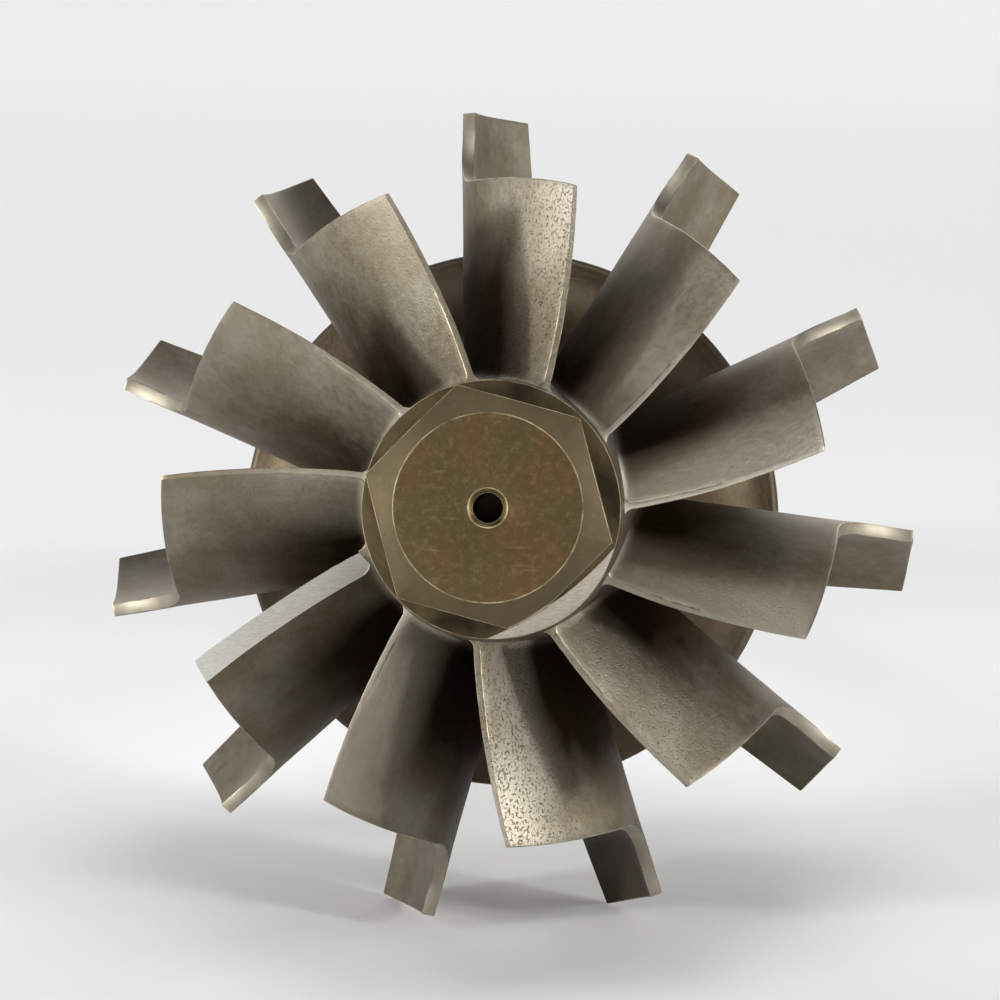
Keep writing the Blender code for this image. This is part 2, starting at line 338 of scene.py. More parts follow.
def cut(obj, tool, operation="DIFFERENCE"):
    """Cuts one solid with another; the new faces keep the tool's finish."""
    bpy.ops.object.select_all(action="DESELECT")
    obj.select_set(True)
    bpy.context.view_layer.objects.active = obj
    modifier = obj.modifiers.new("cut", "BOOLEAN")
    modifier.object = tool
    modifier.operation = operation
    modifier.solver = "EXACT"
    modifier.material_mode = "TRANSFER"
    bpy.ops.object.modifier_apply(modifier=modifier.name)
    bpy.data.objects.remove(tool)


def break_edges(obj, width, angle=30.0, finish=None):
    """Rounds the corners; the narrow new faces can have a finish of their own."""
    start_edit(obj)
    bpy.ops.mesh.remove_doubles(threshold=0.004 * MM)
    bpy.ops.mesh.dissolve_limited(angle_limit=radians(0.2))
    bpy.ops.object.mode_set(mode="OBJECT")
    modifier = obj.modifiers.new("edges", "BEVEL")
    modifier.use_clamp_overlap = False
    modifier.width = width
    modifier.segments = 2
    modifier.limit_method = "ANGLE"
    modifier.angle_limit = radians(angle)
    if finish:
        modifier.material = finish_index(obj, finish)
    bpy.ops.object.modifier_apply(modifier=modifier.name)


def finish_index(obj, finish):
    """The number of the slot that holds this material, which is added if need be."""
    if finish.name not in obj.data.materials:
        obj.data.materials.append(finish)
    return obj.data.materials.find(finish.name)


def finish_faces(obj, finish, chosen):
    """Gives a material to the faces whose centre the test picks."""
    index = finish_index(obj, finish)
    for face in obj.data.polygons:
        if chosen(face.center):
            face.material_index = index


def finish_piece(obj, slot, *replaced, angle=30.0):
    """Puts a piece that was made in the rotor's own axes in its place on the frame."""
    obj.data.transform(ROTOR)
    obj.data.update()
    bpy.ops.object.select_all(action="DESELECT")
    obj.select_set(True)
    bpy.context.view_layer.objects.active = obj
    bpy.ops.object.shade_smooth_by_angle(angle=radians(angle))
    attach(obj, "root")
    if replaced:
        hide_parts(*replaced)


# Materials


def new_material(name):
    """A material with its node tree, its shader and the place on the object as a link."""
    made = bpy.data.materials.new(name)
    made.use_nodes = True
    tree = made.node_tree
    place = (add_node(tree, "ShaderNodeTexCoord"), "Object")
    return made, tree, tree.nodes["Principled BSDF"], place


def cast_skin(name, dull, clean):
    """Investment cast nickel alloy, blasted clean: a matt, fine sandy skin, warm grey. Soot and painted
    shade turn it brown black low in the passages, painted shade darkens the faces and tabs of the
    blades that get less light, painted light brightens their trailing edges, and gas pits follow each
    blade's own wear. The grain is drawn coarser than the real one, so that it shows."""
    made, tree, shader, place = new_material(name)
    patches = add_node(tree, "ShaderNodeTexNoise", {"Vector": place, "Scale": per(6.0), "Detail": 5.0})
    tint = add_node(
        tree, "ShaderNodeValToRGB", {"Fac": (patches, "Fac")}, stops=((0.38, dull), (0.62, clean))
    )
    mottle = add_node(
        tree,
        "ShaderNodeTexNoise",
        {"Vector": place, "Scale": per(0.8), "Detail": 4.0, "Roughness": 0.7},
    )
    spots = add_node(
        tree,
        "ShaderNodeValToRGB",
        {"Fac": (mottle, "Fac")},
        stops=((0.30, "#d8d4ca"), (0.72, "#ffffff")),
    )
    speckled = add_node(
        tree,
        "ShaderNodeMix",
        {"Factor": 1.0, COLOUR_A: (tint, "Color"), COLOUR_B: (spots, "Color")},
        data_type="RGBA",
        blend_type="MULTIPLY",
    )
    uneven = add_node(tree, "ShaderNodeTexNoise", {"Vector": place, "Scale": per(3.5), "Detail": 3.0})
    lean = add_node(
        tree,
        "ShaderNodeMapRange",
        {"Value": (uneven, "Fac"), "From Min": 0.3, "From Max": 0.7, "To Min": 0.85, "To Max": 1.15},
    )
    # Soot and painted shade, read from the mesh: brown black deep in the passages near the hub
    soot_and_shade = add_node(tree, "ShaderNodeAttribute", attribute_name="soot_and_shade")
    laid = add_node(
        tree,
        "ShaderNodeMath",
        {0: (soot_and_shade, "Fac"), 1: (lean, "Result")},
        operation="MULTIPLY",
        use_clamp=True,
    )
    sooted_and_shaded = add_node(
        tree,
        "ShaderNodeMix",
        {"Factor": (laid, "Value"), COLOUR_A: (speckled, MIXED), COLOUR_B: srgb("#32220f")},
        data_type="RGBA",
    )
    # Painted light: a pale colour near the trailing edges, which also lowers the roughness there
    painted_light = add_node(tree, "ShaderNodeAttribute", attribute_name="painted_light")
    lightened = add_node(
        tree,
        "ShaderNodeMix",
        {"Factor": (painted_light, "Fac"), COLOUR_A: (sooted_and_shaded, MIXED), COLOUR_B: srgb("#d2cab9")},
        data_type="RGBA",
    )
    # Painted shade: near black over each blade's face and tab, strongest on blades that get less light
    painted_shade = add_node(tree, "ShaderNodeAttribute", attribute_name="painted_shade")
    shaded = add_node(
        tree,
        "ShaderNodeMix",
        {"Factor": (painted_shade, "Fac"), COLOUR_A: (lightened, MIXED), COLOUR_B: srgb("#1a120a")},
        data_type="RGBA",
    )
    rough = add_node(
        tree,
        "ShaderNodeMapRange",
        {"Value": (mottle, "Fac"), "From Min": 0.3, "From Max": 0.7, "To Min": 0.50, "To Max": 0.62},
    )
    smoother = add_node(
        tree,
        "ShaderNodeMath",
        {0: (painted_light, "Fac"), 1: -0.12, 2: (rough, "Result")},
        operation="MULTIPLY_ADD",
    )
    pitting = add_node(tree, "ShaderNodeAttribute", attribute_name="pitting")
    pits = add_node(tree, "ShaderNodeTexNoise", {"Vector": place, "Scale": per(0.26), "Detail": 4.0})
    holes = add_node(
        tree, "ShaderNodeMapRange", {"Value": (pits, "Fac"), "From Min": 0.54, "From Max": 0.68}
    )
    deep = add_node(
        tree, "ShaderNodeMath", {0: (holes, "Result"), 1: (pitting, "Fac")}, operation="MULTIPLY"
    )
    pocked = add_node(
        tree,
        "ShaderNodeMix",
        {"Factor": (deep, "Value"), COLOUR_A: (shaded, MIXED), COLOUR_B: srgb("#b4ab9c")},
        data_type="RGBA",
        blend_type="MULTIPLY",
    )
    coarse = add_node(
        tree,
        "ShaderNodeBump",
        {"Height": (deep, "Value"), "Strength": 1.0, "Distance": 0.05 * MM},
        invert=True,
    )
    grain = add_node(tree, "ShaderNodeTexNoise", {"Vector": place, "Scale": per(0.3), "Detail": 3.0})
    bump = add_node(
        tree,
        "ShaderNodeBump",
        {
            "Height": (grain, "Fac"),
            "Strength": 0.6,
            "Distance": 0.04 * MM,
            "Normal": (coarse, "Normal"),
        },
    )
    connect(
        tree,
        shader,
        {
            "Base Color": (pocked, MIXED),
            "Metallic": 1.0,
            "Roughness": (smoother, "Value"),
            "Normal": (bump, "Normal"),
        },
    )
    return made


def turned_skin():
    """The same alloy where a lathe has turned the blades to size: satin, with a fine, dull tooling."""
    made, tree, shader, place = new_material("turned_nickel_alloy")
    patches = add_node(tree, "ShaderNodeTexNoise", {"Vector": place, "Scale": per(3.0), "Detail": 3.0})
    tint = add_node(
        tree,
        "ShaderNodeValToRGB",
        {"Fac": (patches, "Fac")},
        stops=((0.35, "#8a8273"), (0.70, "#a49d8e")),
    )
    lines = add_node(tree, "ShaderNodeTexNoise", {"Vector": place, "Scale": per(0.15)})
    bump = add_node(
        tree, "ShaderNodeBump", {"Height": (lines, "Fac"), "Strength": 0.4, "Distance": 0.02 * MM}
    )
    connect(
        tree,
        shader,
        {
            "Base Color": (tint, "Color"),
            "Metallic": 1.0,
            "Roughness": 0.54,
            "Normal": (bump, "Normal"),
        },
    )
    return made


def ground_skin(name, dull, bright, roughness):
    """The alloy where a grinding wheel has taken metal off: grey, with straight scratches."""
    made, tree, shader, place = new_material(name)
    drawn_out = add_node(tree, "ShaderNodeMapping", {"Vector": place, "Scale": (1.0, 1.0, 6.0)})
    scratches = add_node(
        tree,
        "ShaderNodeTexNoise",
        {"Vector": (drawn_out, "Vector"), "Scale": per(0.6), "Detail": 4.0, "Roughness": 0.7},
    )
    tint = add_node(
        tree,
        "ShaderNodeValToRGB",
        {"Fac": (scratches, "Fac")},
        stops=((0.30, dull), (0.70, bright)),
    )
    bump = add_node(
        tree, "ShaderNodeBump", {"Height": (scratches, "Fac"), "Strength": 0.4, "Distance": 0.02 * MM}
    )
    connect(
        tree,
        shader,
        {
            "Base Color": (tint, "Color"),
            "Metallic": 1.0,
            "Roughness": roughness,
            "Normal": (bump, "Normal"),
        },
    )
    return made


def tarnished_skin(name, brown, olive, rub, roughness):
    """The turned end of the nose, tarnished by heat: olive brown in blotches, with rubbed flecks."""
    made, tree, shader, place = new_material(name)
    patches = add_node(tree, "ShaderNodeTexNoise", {"Vector": place, "Scale": per(5.0), "Detail": 4.0})
    tint = add_node(
        tree, "ShaderNodeValToRGB", {"Fac": (patches, "Fac")}, stops=((0.42, brown), (0.58, olive))
    )
    flecks = add_node(
        tree,
        "ShaderNodeTexNoise",
        {"Vector": place, "Scale": per(0.7), "Detail": 5.0, "Roughness": 0.8},
    )
    lightened = add_node(
        tree,
        "ShaderNodeValToRGB",
        {"Fac": (flecks, "Fac")},
        stops=((0.50, "#000000"), (0.80, "#b0b0b0")),
    )
    flecked = add_node(
        tree,
        "ShaderNodeMix",
        {"Factor": (lightened, "Color"), COLOUR_A: (tint, "Color"), COLOUR_B: srgb(rub)},
        data_type="RGBA",
    )
    long_way = add_node(
        tree,
        "ShaderNodeMapping",
        {"Vector": place, "Rotation": (0, radians(4.0), 0), "Scale": (0.12, 1.0, 1.0)},
    )
    strokes = add_node(
        tree,
        "ShaderNodeTexNoise",
        {"Vector": (long_way, "Vector"), "Scale": per(0.5), "Detail": 2.0},
    )
    fine = add_node(
        tree,
        "ShaderNodeValToRGB",
        {"Fac": (strokes, "Fac")},
        stops=((0.66, "#000000"), (0.74, "#8c8c8c")),
    )
    scratched = add_node(
        tree,
        "ShaderNodeMix",
        {"Factor": (fine, "Color"), COLOUR_A: (flecked, MIXED), COLOUR_B: srgb(rub)},
        data_type="RGBA",
    )
    rough = add_node(
        tree,
        "ShaderNodeMapRange",
        {
            "Value": (flecks, "Fac"),
            "From Min": 0.3,
            "From Max": 0.7,
            "To Min": roughness,
            "To Max": roughness + 0.12,
        },
    )
    grain = add_node(tree, "ShaderNodeTexNoise", {"Vector": place, "Scale": per(0.4), "Detail": 3.0})
    bump = add_node(
        tree, "ShaderNodeBump", {"Height": (grain, "Fac"), "Strength": 0.5, "Distance": 0.03 * MM}
    )
    connect(
        tree,
        shader,
        {
            "Base Color": (scratched, MIXED),
            "Metallic": 1.0,
            "Roughness": (rough, "Result"),
            "Normal": (bump, "Normal"),
        },
    )
    return made


def worn_skin(name, dull, bright, metallic):
    """Corners that handling has rubbed: the same alloy, scuffed bright in places, brown where not.
    With a metallic below 1 it also carries a painted highlight: a pale diffuse part under any lamp.
    """
    made, tree, shader, place = new_material(name)
    patches = add_node(
        tree,
        "ShaderNodeTexNoise",
        {"Vector": place, "Scale": per(2.2), "Detail": 4.0, "Roughness": 0.7},
    )
    tint = add_node(
        tree, "ShaderNodeValToRGB", {"Fac": (patches, "Fac")}, stops=((0.38, dull), (0.62, bright))
    )
    connect(tree, shader, {"Base Color": (tint, "Color"), "Metallic": metallic, "Roughness": 0.42})
    return made


def shaded_shoulder_skin():
    """The hub's shoulder, as cast: near black brown and dull, a painted shade for the low shoulder
    round the nose.
    """
    made, tree, shader, place = new_material("shaded_shoulder_nickel_alloy")
    patches = add_node(tree, "ShaderNodeTexNoise", {"Vector": place, "Scale": per(5.0), "Detail": 5.0})
    tint = add_node(
        tree,
        "ShaderNodeValToRGB",
        {"Fac": (patches, "Fac")},
        stops=((0.38, "#302617"), (0.62, "#5c4e36")),
    )
    grain = add_node(tree, "ShaderNodeTexNoise", {"Vector": place, "Scale": per(0.4), "Detail": 3.0})
    bump = add_node(
        tree, "ShaderNodeBump", {"Height": (grain, "Fac"), "Strength": 0.6, "Distance": 0.06 * MM}
    )
    connect(
        tree,
        shader,
        {
            "Base Color": (tint, "Color"),
            "Metallic": 0.8,
            "Roughness": 0.62,
            "Normal": (bump, "Normal"),
        },
    )
    return made


def steel_skin(name, colour, roughness, pitch):
    """Alloy steel, turned and ground round: cool grey with fine lines that run round the shaft,
    drawn coarser than the real ones, so that they dull its gloss."""
    made, tree, shader, place = new_material(name)
    along = add_node(tree, "ShaderNodeMapping", {"Vector": place, "Rotation": (TILT, 0, 0)})
    lines = add_node(
        tree,
        "ShaderNodeTexWave",
        {
            "Vector": (along, "Vector"),
            "Scale": per(pitch) * WAVE_SPACING,
            "Distortion": 4.0,
            "Detail": 3.0,
        },
        bands_direction="Y",
    )
    patches = add_node(tree, "ShaderNodeTexNoise", {"Vector": place, "Scale": per(5.0), "Detail": 3.0})
    tint = add_node(
        tree, "ShaderNodeValToRGB", {"Fac": (patches, "Fac")}, stops=((0.30, colour), (0.70, "#c4c2be"))
    )
    rough = add_node(
        tree,
        "ShaderNodeMapRange",
        {"Value": (lines, "Fac"), "To Min": roughness, "To Max": roughness + 0.08},
    )
    bump = add_node(
        tree, "ShaderNodeBump", {"Height": (lines, "Fac"), "Strength": 0.1, "Distance": 0.002 * MM}
    )
    connect(
        tree,
        shader,
        {
            "Base Color": (tint, "Color"),
            "Metallic": 1.0,
            "Roughness": (rough, "Result"),
            "Normal": (bump, "Normal"),
        },
    )
    return made


def iron_skin():
    """Lapped cast iron of the seal ring: dark grey and satin."""
    made, tree, shader, place = new_material("lapped_cast_iron")
    patches = add_node(tree, "ShaderNodeTexNoise", {"Vector": place, "Scale": per(1.5), "Detail": 3.0})
    tint = add_node(
        tree,
        "ShaderNodeValToRGB",
        {"Fac": (patches, "Fac")},
        stops=((0.30, "#4c4a48"), (0.70, "#6a6764")),
    )
    connect(tree, shader, {"Base Color": (tint, "Color"), "Metallic": 1.0, "Roughness": 0.38})
    return made


def paper_skin():
    """Pale seamless studio paper with painted shade: a little darker towards the back and at the front.
    """
    made, tree, shader, place = new_material("seamless_paper_painted_shade")
    axes = add_node(tree, "ShaderNodeSeparateXYZ", {"Vector": place})
    backwards = add_node(
        tree, "ShaderNodeMapRange", {"Value": (axes, "Y"), "From Min": -0.1, "From Max": 0.7}
    )
    # Painted shade: darker towards the back and at the front
    tint = add_node(
        tree,
        "ShaderNodeValToRGB",
        {"Fac": (backwards, "Result")},
        stops=((0.03, "#e0e0e0"), (0.09, "#ededed"), (0.38, "#e3e3e3"), (0.86, "#dadada")),
    )
    connect(tree, shader, {"Base Color": (tint, "Color"), "Roughness": 0.9})
    return made


CAST = cast_skin("investment_cast_nickel_alloy", "#8b806c", "#a19a8c")
# The hub's skin is darker than the blades': painted shade for the hub, which lies low between the
# blades
SHADED_CAST_HUB = cast_skin("investment_cast_hub_shaded_nickel_alloy", "#62584a", "#73695a")
TURNED = turned_skin()
REAMED = worn_skin("reamed_nickel_alloy", "#4a3d28", "#756648", 1.0)
GROUND = ground_skin("ground_nickel_alloy", "#cfcec4", "#edede6", 0.52)
BALANCED = ground_skin("balance_ground_nickel_alloy", "#a59b8c", "#cfc6b8", 0.50)
TARNISHED = tarnished_skin("tarnished_nickel_alloy", "#705a3c", "#665a3d", "#9c8e70", 0.48)
TARNISHED_CONE = tarnished_skin("tarnished_cone_nickel_alloy", "#655844", "#5c523f", "#857a62", 0.62)
WORN = worn_skin("worn_nickel_alloy", "#6a604c", "#a69e8a", 1.0)
# Edge lines of the hub and nose: scuffing with a painted highlight, half diffuse so that they stay pale
# under any lamp
SCUFFED_HIGHLIGHTED = worn_skin("scuffed_highlighted_nickel_alloy", "#5c5036", "#a89c7a", 0.4)
# Near black painted shade for the hub's low shoulder round the nose
SHADED_SHOULDER = shaded_shoulder_skin()


# Blades


def camber(depth, height):
    """Sideways offset of a blade's middle surface, a shallow C from the inlet to the trailing edge."""
    bow = blend(BOW_AT_ROOT, BOW_AT_TIP, (height - ROOT_HEIGHT) / (TIP_RADIUS - ROOT_HEIGHT))
    if depth < BOW_DEPTH:
        end = BACK_EDGE_LEAN * (TIP_RADIUS - height)
        along = (BOW_DEPTH - depth) / BOW_DEPTH
    else:
        inward = TRAILING_RADIUS - height
        end = TRAILING_OFFSET - TRAILING_SLANT * inward - TRAILING_LEAN * inward**2
        along = (depth - BOW_DEPTH) / (TRAILING_DEPTH - BOW_DEPTH)
    return bow + (end - bow) * along**2


def above_hub(depth, radius):
    """Rough distance of a point from the hub's swept skin."""
    if depth > TRAILING_ROOT_DEPTH:
        return radius - HUB_RADIUS
    length = TRAILING_ROOT_DEPTH - DISC_FRONT
    reach = DISC_RADIUS - HUB_RADIUS
    along = (TRAILING_ROOT_DEPTH - depth) / length
    inward = (DISC_RADIUS - radius) / reach
    if inward <= 0:
        return FAR_FROM_HUB
    size = sqrt(along * along + inward * inward)
    return (1 - size) * size / sqrt((along / length) ** 2 + (inward / reach) ** 2)


def half_thickness(depth, height, radius):
    """Half of a blade's sideways thickness, with the fillet that runs out onto the hub."""
    outward = share(height, ROOT_HEIGHT, SHROUD_THROAT)
    body = blend(THICK_ROOT, THICK_TIP, outward)
    trailing = blend(THICK_TRAILING_ROOT, THICK_TRAILING_TIP, outward)
    plain = blend(body, trailing, share(depth, BOW_DEPTH, TRAILING_DEPTH)) / 2
    gap = FILLET - min(FILLET, max(0.0, above_hub(depth, radius)))
    return plain + FILLET - sqrt(FILLET**2 - gap**2)


def blade_point(depth, radius, side):
    """A place on one side of blade 1; its height is the one that gives it this radius."""
    height = radius
    for _ in range(HEIGHT_ROUNDS):
        offset = camber(depth, height) + side * half_thickness(depth, height, radius)
        height = sqrt(radius**2 - offset**2)
    return Vector((offset, -depth, height))


def shroud_contour(way):
    """(depth, radius) on the turned outer edge, from the inlet's front corner to the trailing edge."""
    centre_radius = SHROUD_THROAT + SHROUD_ARC
    first = asin((centre_radius - TIP_RADIUS) / SHROUD_ARC)
    centre_depth = INLET_WIDTH + SHROUD_ARC * cos(first)
    if way <= 0.5:
        angle = blend(first, pi / 2, way / 0.5)
        return centre_depth - SHROUD_ARC * cos(angle), centre_radius - SHROUD_ARC * sin(angle)
    along = (way - 0.5) / 0.5
    return blend(centre_depth, TRAILING_DEPTH, along), blend(SHROUD_THROAT, TRAILING_RADIUS, along)


def hub_contour(angle, sink=0.0):
    """(depth, radius) on the hub's swept side, or sunk below it; a quarter turn is the disc's rim."""
    along_axis = TRAILING_ROOT_DEPTH - DISC_FRONT + sink
    outward = DISC_RADIUS - HUB_RADIUS + sink
    return TRAILING_ROOT_DEPTH - along_axis * sin(angle), DISC_RADIUS - outward * cos(angle)


def root_contour(way):
    """(depth, radius) in along a blade's free back edge and then forward along the hub."""
    if way <= FREE_SHARE:
        return 0.0, blend(TIP_RADIUS, DISC_RADIUS - RIM_ROUND, way / FREE_SHARE)
    along = (way - FREE_SHARE) / (1 - FREE_SHARE)
    return hub_contour(blend(ROOT_START, 0.0, along), ROOT_SINK)


def blade_blank():
    """One blade in blade 1's place: a sheet is drawn, thickened, bent to its surface and trimmed."""
    bpy.ops.object.select_all(action="DESELECT")
    bpy.ops.mesh.primitive_grid_add(
        x_subdivisions=STREAM, y_subdivisions=SPAN, size=1, location=(0, 0, 0)
    )
    obj = bpy.context.object
    start_edit(obj)
    bpy.ops.mesh.extrude_region_move(TRANSFORM_OT_translate={"value": (0, 0, 1)})
    bpy.ops.object.mode_set(mode="OBJECT")
    obj.data.materials.append(CAST)
    finish_faces(obj, TURNED, lambda centre: centre.y > SHEET_EDGE or centre.x < -SHEET_EDGE)
    worn = finish_index(obj, WORN)
    for vert in obj.data.vertices:
        way = vert.co.x + 0.5
        across = (vert.co.y + 0.5) ** ROOT_CROWDING
        side = 1 if vert.co.z > 0.5 else -1
        root_depth, root_radius = root_contour(way)
        shroud_depth, shroud_radius = shroud_contour(way)
        depth = blend(root_depth, shroud_depth, across)
        radius = blend(root_radius, shroud_radius, across)
        vert.co = blade_point(depth, radius, side)
    start_edit(obj)
    bpy.ops.mesh.normals_make_consistent(inside=False)
    bpy.ops.mesh.select_all(action="DESELECT")
    bpy.ops.mesh.select_mode(type="EDGE")
    bpy.ops.mesh.edges_select_sharp(sharpness=SHARP)
    bpy.ops.mesh.bevel(offset=BLADE_EDGE, segments=2, affect="EDGES", material=worn)
    bpy.ops.object.mode_set(mode="OBJECT")
    return obj


def grinding_tool():
    """Where the grinding wheel ran along blade 8's trailing edge: a flat with a round inner end,
    modelled straight, sliced across, and then laid along the curved edge."""
    length = GROUND_REACH[1] - GROUND_REACH[0]
    near, far = GROUND_ACROSS
    bpy.ops.object.select_all(action="DESELECT")
    bpy.ops.mesh.primitive_plane_add(size=1, location=(0, 0, 0))
    tool = bpy.context.object
    tool.data.materials.append(GROUND)
    start_edit(tool)
    bpy.ops.transform.resize(value=(length, far - near, 1))
    bpy.ops.transform.translate(value=(length / 2, (far + near) / 2, 0))
    bpy.ops.object.mode_set(mode="OBJECT")
    for corner, width in zip((-1, 1), GROUND_CORNERS):
        select_verts(tool, lambda place: place.x < TOUCH and place.y * corner > GROUND_CORNER_LINE)
        bpy.ops.mesh.bevel(affect="VERTICES", offset=width, segments=10)
        bpy.ops.object.mode_set(mode="OBJECT")
    start_edit(tool)
    bpy.ops.mesh.extrude_region_move(TRANSFORM_OT_translate={"value": (0, 0, GROUND_SLAB)})
    for number in range(1, GROUND_SLICES):
        bpy.ops.mesh.select_all(action="SELECT")
        bpy.ops.mesh.bisect(plane_co=(length * number / GROUND_SLICES, 0, 0), plane_no=(1, 0, 0))
    bpy.ops.object.mode_set(mode="OBJECT")
    for vert in tool.data.vertices:
        along, across, out = vert.co
        height = GROUND_REACH[0] + along
        inward = TRAILING_RADIUS - height
        tilt = blend(*GROUND_TILT, share(inward, 0, TRAILING_RADIUS - ROOT_HEIGHT) ** 2)
        aside = GROUND_ASIDE - GROUND_LEAN * inward**2 + across * cos(tilt) - out * sin(tilt)
        depth = GROUND_DEPTH + GROUND_RISE * inward + across * sin(tilt) + out * cos(tilt)
        vert.co = (aside, -depth, height)
    start_edit(tool)
    bpy.ops.mesh.normals_make_consistent(inside=False)
    bpy.ops.object.mode_set(mode="OBJECT")
    return tool


def soot_and_shade_load(depth, radius):
    """How much soot and painted shade a place in the passages holds: most of it deep down and close
    to the hub.
    """
    full, front_end, deep_end = SOOT_AND_SHADE_RADIUS
    end = blend(deep_end, front_end, share(depth, *BOW_REACH))
    return share(radius, end, full) * share(depth, SOOT_AND_SHADE_DEPTH[1], SOOT_AND_SHADE_DEPTH[0])


def write_wear_and_shade(obj, name, amount):
    """Keeps a kind of wear, painted light or painted shade on the mesh, for the material to read;
    amount takes depth and radius.
    """
    layer = obj.data.attributes.new(name, "FLOAT", "POINT")
    for vert in obj.data.vertices:
        radius = Vector((vert.co.x, vert.co.z)).length
        layer.data[vert.index].value = amount(-vert.co.y, radius)


def add_blades():
    """Copies the blank to each place, each copy with its own mesh, wear, painted light and shade, and
    slight unevenness.
    """
    blank = blade_blank()
    for number in range(1, BLADES + 1):
        obj = blank.copy()
        obj.data = blank.data.copy()
        obj.name = f"blade_{number:02d}"
        bpy.context.scene.collection.objects.link(obj)
        if number == GROUND_BLADE:
            cut(obj, grinding_tool())
        pits, painted_light_in, painted_light_out, soot_and_shade, face_shade, tab_shade = WEAR_LIGHT_AND_SHADE[number]
        write_wear_and_shade(obj, "pitting", lambda d, r: max(PLAIN_PITTING, pits * share(d, *PIT_DEPTH)))
        # Painted light near the trailing edges
        write_wear_and_shade(
            obj,
            "painted_light",
            lambda d, r: blend(painted_light_in, painted_light_out, share(r, *PAINTED_LIGHT_RADIUS)) * share(d, *PAINTED_LIGHT_DEPTH),
        )
        # Soot and painted shade in the passage
        write_wear_and_shade(obj, "soot_and_shade", lambda d, r: soot_and_shade * soot_and_shade_load(d, r))
        # Painted shade on the face and on the tab
        write_wear_and_shade(obj, "painted_shade", lambda d, r: blend(face_shade, tab_shade, share(r, *TAB_RADIUS)))
        for vert in obj.data.vertices:
            place = vert.co * per(SKIN_WAVE_LENGTH) + Vector((number * SKIN_WAVE_APART, 0, 0))
            vert.co.x += SKIN_WAVE * noise.noise(place)
        obj.data.transform(Matrix.Rotation(2 * pi * (number - 1) / BLADES, 4, "Y"))
        finish_piece(obj, "cast_nickel_alloy", "wheel_casting")
    bpy.data.objects.remove(blank)


# Hub, nose and disc


def sweep(depth, radius, length, reach):
    """A hollow quarter round from a face at this depth down to this radius, going backwards."""
    angles = [pi / 2 * step / SWEEP_STEPS for step in range(SWEEP_STEPS + 1)]
    return [(depth - length * (1 - cos(angle)), radius + reach * (1 - sin(angle))) for angle in angles]


def balance_cutter():
    """The grinding wheel's path that took the balance metal off the hub's shoulder, lower right."""
    top = NOSE_DEPTH + BALANCE_ABOVE
    outer = BALANCE_WALL + BALANCE_WIDE
    first, last = BALANCE_ARC
    outline = [(top, BALANCE_WALL)]
    for step in range(CUTTER_ROUND_STEPS + 1):
        angle = blend(first, last, step / CUTTER_ROUND_STEPS)
        down = BALANCE_ROUND * (cos(first) - cos(angle))
        out = BALANCE_ROUND * (sin(angle) - sin(first))
        outline.append((SHOULDER_DEPTH - down, BALANCE_WALL + out))
    outline += [(SHOULDER_DEPTH - BALANCE_DEEP, outer), (top, outer), (top, BALANCE_WALL)]
    tool = turned("balance_cut", outline, CUTTER_STEPS)
    tool.data.materials.append(BALANCED)
    aside = Vector((sin(BALANCE_TOWARDS), 0, cos(BALANCE_TOWARDS))) * -BALANCE_OFFSET
    tool.data.transform(Matrix.Translation(aside))
    return tool


def add_hub():
    """The hub with its swept side, the small back disc and the boss, less the balance cut."""
    outline = [(SHOULDER_DEPTH, 0.0), (SHOULDER_DEPTH, SHOULDER_RADIUS)]
    outline += [hub_contour(pi / 2 * step / HUB_SWEEP_STEPS) for step in range(HUB_SWEEP_STEPS - 2)]
    for step in range(RIM_STEPS + 1):
        angle = pi / 2 * step / RIM_STEPS
        depth = DISC_FRONT - RIM_ROUND * (1 - cos(angle))
        outline.append((depth, DISC_RADIUS - RIM_ROUND * (1 - sin(angle))))
    outline += [(DISC_BACK + RIM_CHAMFER, DISC_RADIUS), (DISC_BACK, DISC_RADIUS - RIM_CHAMFER)]
    outline += sweep(DISC_BACK, BOSS_RADIUS, *BOSS_SWEEP)
    outline += [(BOSS_DEPTH, BOSS_RADIUS), (BOSS_DEPTH, 0.0)]
    hub = turned("hub_and_back_disc", outline, HUB_STEPS)
    # A darker skin than the blades': painted shade
    hub.data.materials.append(SHADED_CAST_HUB)
    # The shoulder round the nose gets a near black painted shade
    finish_faces(hub, SHADED_SHOULDER, lambda centre: -centre.y > SHOULDER_DEPTH - TOUCH)
    cut(hub, balance_cutter())
    # Scuffed edges with a painted highlight
    break_edges(hub, HUB_EDGE, angle=35, finish=SCUFFED_HIGHLIGHTED)
    # Soot and painted shade on the hub, low in the passages
    write_wear_and_shade(hub, "soot_and_shade", lambda d, r: HUB_SOOT_AND_SHADE * soot_and_shade_load(d, r))
    finish_piece(hub, "cast_nickel_alloy", "wheel_casting")


